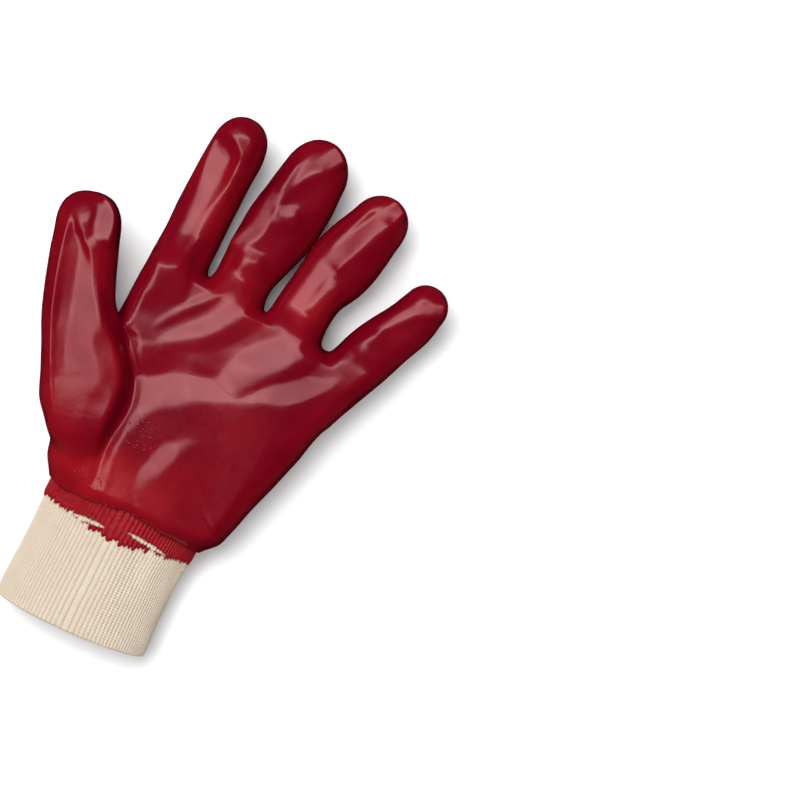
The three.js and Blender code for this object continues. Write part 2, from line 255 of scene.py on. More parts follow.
def palm_rings(inset):
    """Rings of the palm, inset mm inside its skin, from past the lip to over the knuckles."""
    angle = np.linspace(0, 2 * math.pi, PALM_SIDES, endpoint=False)
    made = []
    for t in np.linspace(0, 1, PALM_RINGS):
        row = spline(PALM_ROWS, t)
        roundness = np.interp((row[1] + row[3]) / 2, PALM_ROUNDNESS_Y, PALM_ROUNDNESS)
        made.append(section(np.tile(row, (PALM_SIDES, 1)), angle, roundness, -inset)[0])
    last = np.array(PALM_ROWS[-1])
    middle = (last[4] + last[5]) / 2
    for step in range(1, DOME_RINGS + 1):
        turn = math.radians(KNUCKLE_DOME_DEGREES * step / DOME_RINGS)
        row = last.copy()
        rise = (middle - last[4]) * math.cos(turn)
        row[4], row[5] = middle - rise, middle + rise
        tiled = np.tile(row, (PALM_SIDES, 1))
        ring = section(tiled, angle, PALM_ROUNDNESS[-1], -inset * math.cos(turn))[0]
        ring[:, 1] += (KNUCKLE_DOME - inset) * math.sin(turn)
        made.append(ring)
    return made


def digit_rings(digit, inset):
    """Rings of a finger or the thumb, inset mm inside its skin, from inside the palm to the tip."""
    angle = np.linspace(0, 2 * math.pi, DIGIT_SIDES, endpoint=False)
    made = []

    def ring(centre, direction, half, rise):
        across = np.array([direction[1], -direction[0], 0.0])
        across /= np.linalg.norm(across)
        up = np.cross(across, direction)
        flat = soften(np.cos(angle), DIGIT_ROUNDNESS)[:, None] * across * half
        return centre + flat + soften(np.sin(angle), DIGIT_ROUNDNESS)[:, None] * up * rise

    def direction_at(t):
        ahead = min(t + DIRECTION_STEP, 1.0)
        way = (spline(digit["rows"], ahead) - spline(digit["rows"], ahead - DIRECTION_STEP))[:3]
        return way / np.linalg.norm(way)

    for t in np.linspace(0, 1, DIGIT_RINGS):
        x, y, z, half, rise = spline(digit["rows"], t)
        made.append(ring(np.array([x, y, z]), direction_at(t), half - inset, rise - inset))
    x, y, z, half, rise = digit["rows"][-1]
    direction = direction_at(1.0)
    roundness = digit.get("tip_roundness", TIP_ROUNDNESS)
    for place in range(1, DOME_RINGS + 1):
        turn = 0.5 * math.pi * place / (DOME_RINGS + TIP_OPENING)
        reach = soften(math.sin(turn), roundness)
        size = soften(math.cos(turn), roundness)
        centre = np.array([x, y, z]) + direction * (digit["tip"] - inset) * reach
        made.append(ring(centre, direction, (half - inset) * size, (rise - inset) * size))
    return made


def ring_grid(rings, closed_rows=False):
    """Quads between rings of equal length that close on themselves."""
    sides, rows = len(rings[0]), len(rings)
    faces = []
    for row in range(rows if closed_rows else rows - 1):
        here, below = row * sides, (row + 1) % rows * sides
        for side in range(sides):
            other = (side + 1) % sides
            faces.append((here + side, here + other, below + other, below + side))
    return faces


def closed_loft(rings):
    """Points and faces of a skin through rings of equal length, with a fan over each end."""
    sides = len(rings[0])
    points = list(np.vstack(rings))
    faces = [(face[0], *face[:0:-1]) for face in ring_grid(rings)]
    for first, turn in ((0, False), ((len(rings) - 1) * sides, True)):
        points.append(np.mean(points[first:first + sides], axis=0))
        centre = len(points) - 1
        for side in range(sides):
            a, b = first + side, first + (side + 1) % sides
            faces.append((b, a, centre) if turn else (a, b, centre))
    return points, faces


def new_object(name, data):
    made = bpy.data.objects.new(name, data)
    bpy.context.scene.collection.objects.link(made)
    return made


def voxel_skin(voxel, inset):
    """One skin round the palm and all digits, inset mm inside them, as points in mm and quads."""
    points, faces = [], []
    for rings in [palm_rings(inset)] + [digit_rings(digit, inset) for digit in DIGITS.values()]:
        more, skin = closed_loft(rings)
        faces += [tuple(i + len(points) for i in face) for face in skin]
        points += more
    mesh = bpy.data.meshes.new("lofts")
    mesh.from_pydata([tuple(p) for p in points], [], faces)
    lofts = new_object("lofts", mesh)
    remesh = lofts.modifiers.new("voxels", "REMESH")
    remesh.mode = "VOXEL"
    remesh.voxel_size = voxel
    graph = bpy.context.evaluated_depsgraph_get()
    made = bpy.data.meshes.new_from_object(lofts.evaluated_get(graph))
    points, faces = points_of(made), [tuple(polygon.vertices) for polygon in made.polygons]
    bpy.data.objects.remove(lofts)
    bpy.data.meshes.remove(mesh)
    bpy.data.meshes.remove(made)
    return points, faces


def points_of(mesh):
    points = np.empty(len(mesh.vertices) * 3)
    mesh.vertices.foreach_get("co", points)
    return points.reshape(-1, 3)


def sides_of(face):
    return zip(face, face[1:] + face[:1])


def edges_of(faces):
    return np.array(sorted({(min(side), max(side)) for face in faces for side in sides_of(face)}))


def sums_at(places, values, count):
    """The sums of the rows of values that belong to each of the count places."""
    sums = [np.bincount(places, weights=values[:, axis], minlength=count) for axis in range(3)]
    return np.stack(sums, axis=1)


def renumbered(faces):
    """The points that the faces use, and the faces with these points' new numbers."""
    used = sorted({i for face in faces for i in face})
    place = {old: new for new, old in enumerate(used)}
    return used, [tuple(place[i] for i in face) for face in faces]


def relax(points, edges, rounds, weight=1.0):
    """Moves each point towards the middle of its neighbours, by its weight, several times."""
    count = len(points)
    ends = np.concatenate([edges[:, 0], edges[:, 1]])
    others = np.concatenate([edges[:, 1], edges[:, 0]])
    neighbours = np.maximum(np.bincount(ends, minlength=count), 1)[:, None]
    share = np.broadcast_to(np.asarray(weight, float), (count,))[:, None] * 0.5
    for _ in range(rounds):
        points = points + share * (sums_at(ends, points[others], count) / neighbours - points)
    return points


def normals_of(points, faces):
    """Unit normals at the points, from the diagonals of each face."""
    corners = np.array([face if len(face) == 4 else face + (face[2],) for face in faces])
    a, b, c, d = (points[corners[:, i]] for i in range(4))
    across = np.cross(c - a, d - b)
    total = np.zeros_like(points)
    for i in range(4):
        total += sums_at(corners[:, i], across, len(points))
    return total / np.maximum(np.linalg.norm(total, axis=1, keepdims=True), TINY)


def from_path(plan, path):
    """How plan points lie to a path: distance, side, how far along, height there, and its length.

    The side is 1 to the left of the path and -1 to the right, and turns evenly round its ends.
    """
    best = np.full(len(plan), FAR)
    side = np.zeros(len(plan))
    along = np.zeros(len(plan))
    height = np.zeros(len(plan))
    passed = 0.0
    for start, end in zip(path[:-1], path[1:]):
        way = end[:2] - start[:2]
        length = np.linalg.norm(way)
        unit = way / length
        offset = plan - start[:2]
        reach = np.clip(offset @ unit, 0, length)
        distance = np.linalg.norm(offset - reach[:, None] * unit, axis=1)
        nearer = distance < best
        best = np.where(nearer, distance, best)
        cross = unit[0] * offset[:, 1] - unit[1] * offset[:, 0]
        side = np.where(nearer, np.clip(cross / np.maximum(distance, TINY), -1, 1), side)
        along = np.where(nearer, passed + reach, along)
        height = np.where(nearer, start[2] + (end[2] - start[2]) * reach / length, height)
        passed += length
    return best, side, along, height, passed


PATH_STEPS = 6


def smooth_path(path):
    return spline(path, np.linspace(0, 1, PATH_STEPS * (len(path) - 1) + 1))


def flat_path(places):
    return smooth_path([(*place, 0.0) for place in places])


# Folds of the palm side. Each follows a path of x, y and height in mm, minus for a valley. left and
# right are how far its straight flanks reach to either side of the path, and crest is how gently
# its top is rounded. fade is over how much of each end it rises and sinks.
Fold = namedtuple("Fold", "name left right crest fade path")
PALM_FOLDS = [
    Fold("thenar valley", 7, 12, 0.8, 10, [
        (-41, 82, -1), (-35, 73, -1.4), (-24, 56, -1.2), (-22, 37, -1), (-21, 22, -1.4),
        (-18, 5, -1.6), (-17, -2, -1.2)]),
    Fold("thumb outer ridge", 6, 5, 0.6, 9, [
        (-80, 118, 0.8), (-81, 108, 1.1), (-77, 99, 1.2), (-75, 92, 1.2), (-68, 74, 1.1),
        (-64, 64, 1), (-60, 51, 0.8), (-53, 42, 0.6)]),
    Fold("index ridge", 5, 5, 0.6, 8, [
        (-25, 174, 1.1), (-25, 168, 1.2), (-24, 158, 1.3), (-25, 144, 1.3), (-26, 131, 1.2),
        (-28, 120, 1), (-31, 110, 0.7)]),
    Fold("index tip stroke", 4, 4, 0.8, 4, [(-39, 181, 0.8), (-34, 178, 0.9), (-28, 175, 0.8)]),
    Fold("index tip arc", 3, 3, 0.7, 4, [
        (-30, 188, 0.5), (-25, 186, 0.7), (-23.5, 180, 0.7), (-25, 174, 0.7)]),
    Fold("middle side line", 3, 3, 0.5, 5, [(-1, 190, 0.8), (-1.5, 179, 0.9), (-2.5, 168, 0.8)]),
    Fold("middle ridge", 5, 10, 1.0, 8, [
        (17, 189, 0.8), (9, 186, 1), (4, 178, 1), (1, 169, 1), (0, 160, 0.9),
        (1, 154, 0.8), (0, 147, 0.8), (-5, 139, 0.8), (-8, 133, 0.8)]),
    Fold("middle zigzag", 6, 6, 1.2, 5, [(-8, 134, 1.4), (1, 133.7, 1.8), (10, 135, 1.6)]),
    Fold("middle cross pad", 6, 6, 1.6, 5, [(0, 156, 1), (7, 160, 1.6), (14, 165, 1.2)]),
    Fold("ring ridge", 6, 9, 1.2, 7, [
        (54, 184, 0.6), (50, 177, 0.8), (46, 167, 0.9), (42, 157, 0.8), (37, 147, 0.6)]),
    Fold("ring root ridge", 15, 7, 2.0, 9, [
        (45, 148, 1), (43, 138, 2), (42, 129, 1.8), (41, 121, 0.6)]),
    Fold("index root rim", 7, 16, 3.0, 10, [(-39, 88, 1), (-39, 104, 1.5), (-37, 122, 1.2)]),
    Fold("index root pad", 11, 16, 4.0, 5, [(-42, 114, 1.8), (-31, 117, 2.4), (-20, 120, 2)]),
    Fold("little ridge", 7, 7, 0.7, 7, [
        (88, 155, 0.3), (83, 149.5, 0.3), (76, 142, 0.4), (69, 130, 1.1), (62, 122, 1.2),
        (60, 114, 0.8)]),
]

# Ridges of the palm, with the height of their crests: paths of x, y and z. From a crest the skin
# falls by left and right mm for each mm on either side, and radius is how wide it rolls over. Where
# two ridges meet, or a ridge meets the level hollow, lies a crease.
Ridge = namedtuple("Ridge", "name left right radius path")
PALM_RIDGES = [
    Ridge("palm band", 0.17, 0.035, 10, [
        (-14, 26, 32.3), (-11, 38, 33), (-6, 49, 33.5), (3, 57, 33.8), (12, 63, 34),
        (20, 67.5, 34.2), (30, 72.5, 34.6), (38, 76, 34.9), (46, 79.5, 34.8), (54, 86, 33.8),
        (61, 95, 32.2), (66, 106, 30.4), (70, 116, 28.6)]),
    Ridge("lower thenar flank", 0.30, 0.02, 16, [(-12, 0, 30.4), (-14, 12, 31.6), (-14, 26, 32.3)]),
    Ridge("heel pad", 0.135, 0.06, 14, [(12, 27, 33.2), (13, 32, 33.7), (15, 38, 34), (17, 43, 33.8)]),
    Ridge("finger root pad", 0.18, 0.12, 10, [
        (-26, 75, 32.3), (-17, 80, 32.6), (-7, 87, 32.6), (3, 97, 32.2), (12, 111, 31.2),
        (15, 117, 30.7)]),
    Ridge("root ridge", 0.30, 0.22, 8, [
        (-27, 80, 31.9), (-23, 88, 32), (-17, 97, 31.6), (-9, 107, 30.9), (-2, 117, 29.9),
        (6, 125, 28.8)]),
    Ridge("ring knuckle", 0.16, 0.30, 14, [
        (26, 76, 34.2), (32, 85, 33.8), (38, 94, 33.2), (43, 103, 32.2)]),
]
# The hollow beyond the palm band: its height where it starts at y, and its fall towards the fingers
# and, under the heel's ridges, towards the wrist.
HOLLOW = {"z": 32.35, "y": 80.0, "fall": 0.07, "fall_to_wrist": 0.12}
RIDGE_BLEND = 0.06
RIDGE_DATUM = 32.0
# The most that the ridges may raise and lower the plain form.
RIDGE_RAISE = 4.0
RIDGE_LOWER = 5.5
# The crease between the ball of the thumb and the palm, where the ridges' land begins.
THENAR_CREASE = [
    (-44, 92), (-41, 82), (-35, 73), (-24, 56), (-22, 37), (-21, 22), (-18, 5), (-17, -8),
]
# Where that land sets in: past the crease, up from the wrist, and out again before the fingers.
CREASE_RISE = (-1.0, 3.0)
WRIST_RISE = (-2.0, 10.0)
FINGER_FALL = (112.0, 126.0)

# Where the palm side is pulled flat: x, y, z of a point on the flat, its slopes along x and y, how
# far it reaches to either side of its line, and that line.
Flat = namedtuple("Flat", "name at slopes reach line")
PALM_FLATS = [
    Flat("index flat", (-34, 140, 26.6), (0.105, -0.02), 8, [(-38, 170), (-33, 140), (-32, 124)]),
    Flat("ring flat", (36, 130, 26.7), (0.17, -0.02), 9, [(37, 147), (36, 127)]),
]
# A flat fades out over this much past its reach, and its edges are rounded by this much.
FLAT_FADE = 6.0
FLAT_EDGE = 0.35

# Facets of the palm side: straight across from a left edge to a right edge, each a path of x, y and z
# from the wrist's end to the fingertip's. soft is how far past its edges a facet still draws the
# skin, and fade over how much of its start it sets in.
Facet = namedtuple("Facet", "name soft fade left right")
PALM_FACETS = [
    Facet("thumb facet", 4.5, 14, left=[
        (-43, 12, 34.5), (-47, 28, 38.6), (-56, 46, 40), (-62.5, 60, 40.2), (-69.5, 79.4, 40.6),
        (-76.5, 99, 41.2), (-78, 106, 41.4)], right=[
        (-24, 10, 34.5), (-25, 30, 41), (-25, 46, 43.2), (-28, 58, 43.9), (-36, 68, 44.2),
        (-46, 76, 44.1), (-55, 86.8, 43.4), (-66.6, 99, 42.6), (-75, 106, 41.8)]),
    Facet("middle facet", 3.5, 6, left=[
        (-13, 133, 24.2), (-11, 141, 24.8), (-8, 150, 25.8), (-7, 157, 26.5), (-6, 168, 27.2),
        (-2, 180, 28.4), (3, 189, 29)], right=[
        (-7, 131, 25.2), (-5, 139, 26), (0, 148, 27.2), (0.5, 156, 27.7), (0.5, 168, 28.3),
        (4, 178, 29.4), (10, 186, 30)]),
    Facet("ring facet", 3.5, 6, left=[
        (30, 148, 25.4), (34, 161, 26.9), (38, 171, 28.1), (43, 182, 29.3)], right=[
        (38, 146, 26.9), (42, 157, 28.3), (46, 167, 29.5), (51, 179, 30.7)]),
    Facet("little facet", 3, 6, left=[
        (66, 130.5, 26.6), (70, 138.5, 27.1), (74.5, 146, 27.8), (78.7, 151.5, 28.3),
        (84, 155, 28.4)], right=[
        (69, 129, 27.2), (73.5, 136, 27.9), (79, 142.5, 28.8), (82.7, 147.8, 29.2),
        (88.5, 151, 29.1)]),
    Facet("thumb tip facet", 3.5, 5, left=[
        (-68, 105, 43), (-70, 114, 42.8), (-72, 124, 41.8)], right=[
        (-59, 105, 43.2), (-61, 114, 43.8), (-64, 124, 42.9)]),
]

# Wrinkles of the back, as the folds of the palm.
BACK_FOLDS = [
    Fold("index knuckle", 7, 7, 1.2, 6, [(-42, 138, 1.4), (-31, 142, 1.6), (-19, 139, 1.4)]),
    Fold("middle knuckle", 7, 7, 1.2, 6, [(-12, 142, 1.4), (3, 147, 1.6), (18, 144, 1.4)]),
    Fold("ring knuckle", 7, 7, 1.2, 6, [(23, 136, 1.4), (36, 140, 1.6), (50, 138, 1.4)]),
    Fold("little knuckle", 6, 6, 1.2, 6, [(62, 130, 1.2), (73, 126, 1.4), (85, 122, 1.2)]),
]
# The share of a fold's height that is left at its ends.
FOLD_END = 0.1


def fold_heights(plan, folds):
    total = np.zeros(len(plan))
    for fold in folds:
        path = smooth_path(fold.path)
        widest = max(fold.left, fold.right) + 2 * fold.crest
        low, high = path[:, :2].min(axis=0) - widest, path[:, :2].max(axis=0) + widest
        near = np.all((plan > low) & (plan < high), axis=1)
        distance, side, along, height, length = from_path(plan[near], path)
        width = fold.right + (fold.left - fold.right) * (1 + side) / 2
        shape = np.clip(1 - (np.sqrt(distance**2 + fold.crest**2) - fold.crest) / width, 0, 1)
        ends = smoothstep(0, fold.fade, along) * smoothstep(0, fold.fade, length - along)
        total[near] += height * shape * (FOLD_END + (1 - FOLD_END) * ends)
    return total


def ridge_heights(plan):
    """Height of the ridges' landscape at these plan points."""
    past = plan[:, 1] - HOLLOW["y"]
    fall = HOLLOW["fall"] * np.maximum(past, 0) + HOLLOW["fall_to_wrist"] * np.maximum(-past, 0)
    total = np.exp((HOLLOW["z"] - fall - RIDGE_DATUM) / RIDGE_BLEND)
    for ridge in PALM_RIDGES:
        distance, side, _, height, _ = from_path(plan, smooth_path(ridge.path))
        slope = ridge.right + (ridge.left - ridge.right) * (1 + side) / 2
        rounding = slope * ridge.radius
        drop = slope * (np.sqrt(distance**2 + rounding**2) - rounding)
        total += np.exp((height - drop - RIDGE_DATUM) / RIDGE_BLEND)
    return RIDGE_DATUM + RIDGE_BLEND * np.log(total)


def ridged(points):
    """How far the palm's top moves to the ridges' landscape, as far as that may raise or lower it."""
    plan = points[:, :2]
    gap = np.clip(ridge_heights(plan) - points[:, 2], -RIDGE_LOWER, RIDGE_RAISE)
    distance, side = from_path(plan, flat_path(THENAR_CREASE))[:2]
    share = smoothstep(*CREASE_RISE, side * distance)
    share *= smoothstep(*WRIST_RISE, plan[:, 1]) * (1 - smoothstep(*FINGER_FALL, plan[:, 1]))
    return gap * share


def flattened(points, flats):
    """Heights of the points after each flat has shaved what stands above it."""
    heights = points[:, 2].copy()
    for flat in flats:
        offset = points[:, :2] - flat.at[:2]
        plane = flat.at[2] + flat.slopes[0] * offset[:, 0] + flat.slopes[1] * offset[:, 1]
        distance = from_path(points[:, :2], flat_path(flat.line))[0]
        share = 1 - smoothstep(flat.reach, flat.reach + FLAT_FADE, distance)
        gap = heights - plane
        shaved = plane + (gap - np.sqrt(gap**2 + FLAT_EDGE**2)) / 2
        heights += share * (shaved - heights)
    return heights


def faceted(points, facets):
    """Heights of the points after each facet has drawn them onto itself."""
    heights = points[:, 2].copy()
    plan = points[:, :2]
    for facet in facets:
        left, side_left, along_left, low, _ = from_path(plan, smooth_path(facet.left))
        right, side_right, along_right, high, _ = from_path(plan, smooth_path(facet.right))
        between = low + (high - low) * left / np.maximum(left + right, TINY)
        past_left, past_right = side_left * left, -side_right * right
        outside = np.maximum(past_left, past_right)
        target = np.where(past_left > 0, low, np.where(past_right > 0, high, between))
        share = 1 - smoothstep(0.0, facet.soft, outside)
        share *= smoothstep(0.0, facet.fade, np.minimum(along_left, along_right))
        heights += share * (target - heights)
    return heights


# The skin's gentle unevenness: the size and depth of its waves, and where their noise starts.
WAVE_SIZE = 14.0
WAVE_DEPTH = 0.35
WAVE_SHIFT = Vector((17.3, 5.1, 9.7))


def waviness(points):
    return np.array([WAVE_DEPTH * noise.noise(Vector(p) / WAVE_SIZE + WAVE_SHIFT) for p in points])


# The webs between the digits, where the skin is drawn smooth: x, y, z, radius and strength.
WEBS = [
    (-14, 116, 14, 13, 1), (17.5, 116, 14, 13, 1), (53, 109, 14, 15, 1), (-42, 78, 22, 17, 1),
    (-26, 22, 24, 18, 1), (72, 96, 14, 16, 1), (-44, 36, 10, 16, 1), (-46, 14, 16, 16, 1),
]
WEB_CORE = 0.5
WEB_RIM = 1.3


def spread(points, spots, core, rim=1.0):
    """Values near the spots, in full strength up to core radii from them, and 0 from rim radii on."""
    value = np.zeros(len(points))
    for x, y, z, radius, strength in spots:
        distance = np.linalg.norm(points - (x, y, z), axis=1)
        value = np.maximum(value, strength * (1 - smoothstep(radius * core, radius * rim, distance)))
    return value


# The skin above the lip is drawn in over this height, to this far off the wrist. CORE_SIZE, a share of
# its section, keeps points in the wrist's middle from being thrown out.
DRAW_IN_SPAN = 10.0
LIP_CLEARANCE = 2.3
CORE_SIZE = 0.2


def draw_in(points):
    """Narrows the skin above the lip until it lies on the wrist, and rounds it over from there."""
    above = points[:, 1] - lip_line(points)
    drop = np.clip(SEAM_Y - points[:, 1], 0, WRIST_LENGTH)
    left, _, right, _, bottom, top = spline(WRIST_ROWS, drop / WRIST_LENGTH).T
    middle = np.stack([(left + right) / 2, (bottom + top) / 2], axis=1)
    half = np.stack([(right - left) / 2, (top - bottom) / 2], axis=1) + LIP_CLEARANCE
    offset = points[:, [0, 2]] - middle
    size = (np.abs(offset / half) ** WRIST_ROUNDNESS).sum(axis=1) ** (1 / WRIST_ROUNDNESS)
    target = middle + offset / np.maximum(size, CORE_SIZE)[:, None]
    share = np.sqrt(np.clip(1 - np.clip(above, 0, None) / DRAW_IN_SPAN, 0, 1))
    share = np.where(size > 1, 1 - np.sqrt(1 - share**4), 0)
    moved = points.copy()
    moved[:, [0, 2]] += (target - points[:, [0, 2]]) * share[:, None]
    return moved


# Rounds of smoothing: of the voxels' steps, of the webs, after the skin has grown, and at the end.
STEP_ROUNDS = 5
WEB_ROUNDS = 24
GROWN_ROUNDS = 3
LAST_ROUNDS = 2
# Relief is full where the skin faces at least this much up or down, and fades out to its sides.
FACING = 0.55
# Below this height the skin is pressed flatter, to this share.
PRESSED_Z = 1.0
PRESSED_SHARE = 0.4


def sculpt(points, faces):
    """Smooths the skin, draws it in at the wrist, shapes its relief and presses it on the floor."""
    edges = edges_of(faces)
    points = relax(points, edges, STEP_ROUNDS)
    points = relax(points, edges, WEB_ROUNDS, spread(points, WEBS, WEB_CORE, WEB_RIM))
    points = points + normals_of(points, faces) * MESH_INSET
    points = relax(points, edges, GROWN_ROUNDS)
    points = draw_in(points)
    points[:, 2] = flattened(points, PALM_FLATS)
    normals = normals_of(points, faces)
    plan = points[:, :2]
    up = smoothstep(0.0, FACING, normals[:, 2])
    down = smoothstep(0.0, FACING, -normals[:, 2])
    points[:, 2] += up * (faceted(points, PALM_FACETS) - points[:, 2])
    palm = fold_heights(plan, PALM_FOLDS) + ridged(points)
    points[:, 2] += up * palm - down * fold_heights(plan, BACK_FOLDS)
    points += normals * waviness(points)[:, None]
    points = relax(points, edges, LAST_ROUNDS)
    pressed = points[:, 2] * PRESSED_SHARE + PRESSED_Z * (1 - PRESSED_SHARE)
    points[:, 2] = np.where(points[:, 2] < PRESSED_Z, np.maximum(pressed, 0.0), points[:, 2])
    return points


# The lip's y at these x, in the middle of the palm side and of the back: it runs to y 0 at the sides,
# LIP_MIDDLE high, and is in full LIP_HALF above and below. LIP_WAVE and its turn for each mm of x
# make it wavy.
LIP_X = [-41, -28, -11, 6, 26, 41]
LIP_Y = [-1.0, -3.5, -0.5, 3.0, 1.0, 0.5]
LIP_MIDDLE = 15.0
LIP_HALF = 16.0
LIP_WAVE = 0.5
LIP_WAVE_TURN = 0.45


def lip_line(points):
    """Where the coating ends at the wrist, as y, for each point."""
    x, z = points[:, 0], points[:, 2]
    facing = np.abs(np.clip((z - LIP_MIDDLE) / LIP_HALF, -1, 1))
    return (np.interp(x, LIP_X, LIP_Y) + LIP_WAVE * np.sin(x * LIP_WAVE_TURN)) * facing


def cut_at_lip(points, faces, above):
    """Keeps the skin above the lip line moved by above, with its edge drawn onto that line."""
    height = points[:, 1] - lip_line(points) - above
    kept = [face for face in faces if max(height[i] for i in face) > 0]
    used, kept = renumbered(kept)
    points = points[used]
    points[:, 1] -= np.minimum(height[used], 0)
    return points, kept


def rim_of(faces):
    """The open edge of a skin, as a loop of points in order."""
    sides = dict.fromkeys(side for face in faces for side in sides_of(face))
    follows = {b: a for a, b in sides if (b, a) not in sides}
    start = next(iter(follows))
    loop = [start]
    while follows[loop[-1]] != start:
        loop.append(follows[loop[-1]])
    return loop


def to_metres(points):
    return (np.asarray(points) - TABLE_CENTRE) * MM


def new_piece(name, points, faces):
    mesh = bpy.data.meshes.new(name)
    mesh.from_pydata(to_metres(points).tolist(), [], faces)
    mesh.polygons.foreach_set("use_smooth", [True] * len(mesh.polygons))
    mesh.update()
    return new_object(name, mesh)


def add_values(piece, name, values):
    layer = piece.data.attributes.new(name, "FLOAT", "POINT")
    layer.data.foreach_set("value", np.asarray(values, np.float32))


# How flat the wrist is, for the angle of a place round its rim.
RIM_FLATNESS = 0.35


def join_rims(points, outer, inner):
    """Faces between two loops of different lengths, walking both by their angle round the wrist."""
    middle = points[outer].mean(axis=0)

    def turn(i):
        return math.atan2(points[i][2] - middle[2], (points[i][0] - middle[0]) * RIM_FLATNESS)

    def from_zero(loop):
        angles = [turn(i) for i in loop]
        forward = sum(1 for a, b in zip(angles, angles[1:]) if b > a) * 2 > len(loop)
        if not forward:
            loop, angles = loop[::-1], angles[::-1]
        start = int(np.argmin(angles))
        loop = loop[start:] + loop[:start]
        angles = angles[start:] + angles[:start]
        return loop, angles, forward

    outer, outer_turns, forward = from_zero(list(outer))
    inner, inner_turns, _ = from_zero(list(inner))
    faces = []
    a = b = 0
    while a < len(outer) or b < len(inner):
        here, there = outer[a % len(outer)], inner[b % len(inner)]
        ahead_a = outer_turns[a] if a < len(outer) else FAR
        ahead_b = inner_turns[b] if b < len(inner) else FAR
        if ahead_a <= ahead_b:
            face = (here, outer[(a + 1) % len(outer)], there)
            a += 1
        else:
            face = (here, inner[(b + 1) % len(inner)], there)
            b += 1
        faces.append(face if forward else face[::-1])
    return faces


def kept_inside(inner, points, faces):
    """Moves the points of an inner skin to where they lie at least the coat's wall inside this one."""
    tree = BVHTree.FromPolygons([Vector(p) for p in points], faces)
    moved = inner.copy()
    for i, point in enumerate(inner):
        nearest, normal, _, _ = tree.find_nearest(Vector(point))
        if (nearest - Vector(point)).dot(normal) < COAT_WALL:
            moved[i] = nearest - normal * COAT_WALL
    return moved


# Turns in which the liner is smoothed and kept inside the coat, and rounds of smoothing in each and
# at the skin's rim.
LINER_TURNS = 3
LINER_ROUNDS = 2
RIM_ROUNDS = 8
# The lip rolls over through these turns, half the coat's wall wide.
LIP_DEGREES = (45, 90)
LIP_RADIUS = 0.5 * COAT_WALL


def make_liner(points, faces):
    """The inner skin, at least the coat's wall inside the outer one."""
    inner, inner_faces = voxel_skin(LINER_VOXEL, LINER_INSET)
    edges = edges_of(inner_faces)
    inner = relax(inner, edges, LINER_ROUNDS)
    for _ in range(LINER_TURNS):
        inner = relax(kept_inside(inner, points, faces), edges, LINER_ROUNDS)
    return cut_at_lip(kept_inside(inner, points, faces), inner_faces, LINER_SETBACK)


def make_hand():
    """The dipped skin with its liner inside, one closed body, and how many faces lie outside."""
    points, faces = voxel_skin(VOXEL, MESH_INSET)
    points = sculpt(points, faces)
    inner, inner_faces = make_liner(points, faces)
    points, faces = cut_at_lip(points, faces, 0.0)
    rim = rim_of(faces)
    near_rim = np.zeros(len(points))
    near_rim[rim] = 1.0
    points = relax(points, edges_of(faces), RIM_ROUNDS, near_rim)

    lip = points[rim]
    inward = (lip.mean(axis=0) - lip) * (1, 0, 1)
    inward /= np.linalg.norm(inward, axis=1, keepdims=True)
    outer_faces, last = list(faces), rim
    for degrees in LIP_DEGREES:
        turn = math.radians(degrees)
        ring = lip + inward * LIP_RADIUS * (1 - math.cos(turn)) - (0, LIP_RADIUS * math.sin(turn), 0)
        new = list(range(len(points), len(points) + len(ring)))
        points = np.vstack([points, ring])
        outer_faces += zip(last, last[1:] + last[:1], new[1:] + new[:1], new)
        last = new
    first = len(points)
    points = np.vstack([points, inner])
    outer_faces += join_rims(points, last, [i + first for i in rim_of(inner_faces)])
    liner_faces = [tuple(i + first for i in face[::-1]) for face in inner_faces]
    piece = new_piece("coated_hand_skin", points, outer_faces + liner_faces)
    return piece, len(outer_faces)


hand, outer_count = make_hand()


# Round the wrist: the points, their angles, and how far each sinks between two ribs, from 0 to 1.
ROUND = RIBS * RIB_POINTS
ANGLE = 2 * math.pi * np.arange(ROUND) / ROUND
SUNK = 0.5 - 0.5 * np.cos(2 * math.pi * (np.arange(ROUND) / RIB_POINTS))


def wrist_surface(drop, grow):
    """Points round the wrist, drop mm down from the seam, grown outwards by grow."""
    share = drop / WRIST_LENGTH
    row = spline(WRIST_ROWS, share)
    points, facing = section(row, ANGLE, WRIST_ROUNDNESS)
    points[..., 1] -= WRIST_BOW * share**2 * facing**2
    points[..., 1] -= np.maximum(share - 1, 0) * WRIST_LENGTH
    middle = np.stack([(row[..., 0] + row[..., 2]) / 2, (row[..., 4] + row[..., 5]) / 2], axis=-1)
    out = (points[..., [0, 2]] - middle) / np.square(WRIST_HALVES)
    out /= np.linalg.norm(out, axis=-1, keepdims=True)
    points[..., [0, 2]] += out * np.asarray(grow)[..., None]
    return points


def random_row(count, seed):
    return np.random.default_rng(seed).random(count)


def puckers(drop):
    """Soft, shallow folds where the wrist is drawn in below the hand."""
    fade = np.exp(-((drop - PUCKER_DROP) / PUCKER_SPAN) ** 2)
    waves = 0
    for count, strength, phase, turn in PUCKER_WAVES:
        waves = waves + strength * np.sin(ANGLE * count + phase + drop * turn)
    return PUCKER_DEPTH * fade * waves


